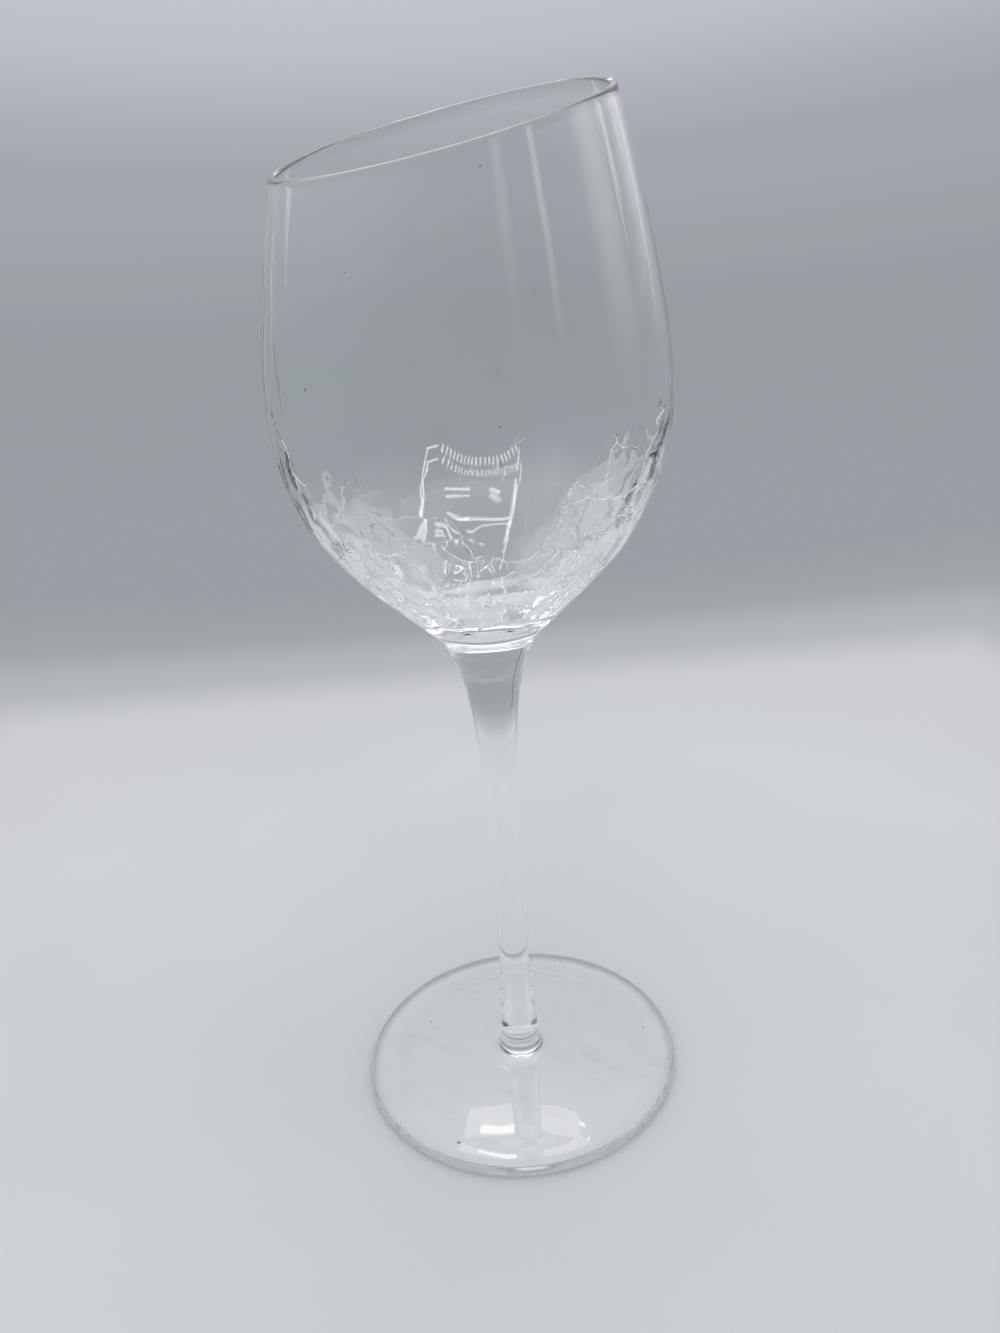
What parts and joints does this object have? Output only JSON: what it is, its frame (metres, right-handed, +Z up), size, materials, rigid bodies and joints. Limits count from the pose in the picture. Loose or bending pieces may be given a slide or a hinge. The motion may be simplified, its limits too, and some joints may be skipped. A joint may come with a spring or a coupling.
{
  "type": "wine_glass",
  "caption": "Stemmed clear wine glass with a slanted rim and a net of fine cracks in the lower bowl",
  "frame": {"origin": "centre of the foot, on the surface the glass stands on", "axes": "+Z up along the stem, +X toward the highest point of the slanted rim"},
  "size_m": [0.0836, 0.0836, 0.23],
  "materials": {
    "clear_glass": "clear blown glass, smooth and shiny, with fine cracks in the outer skin of the lower bowl"
  },
  "bodies": {
    "root": {"wine_glass": "clear_glass"}
  },
  "joints": []
}
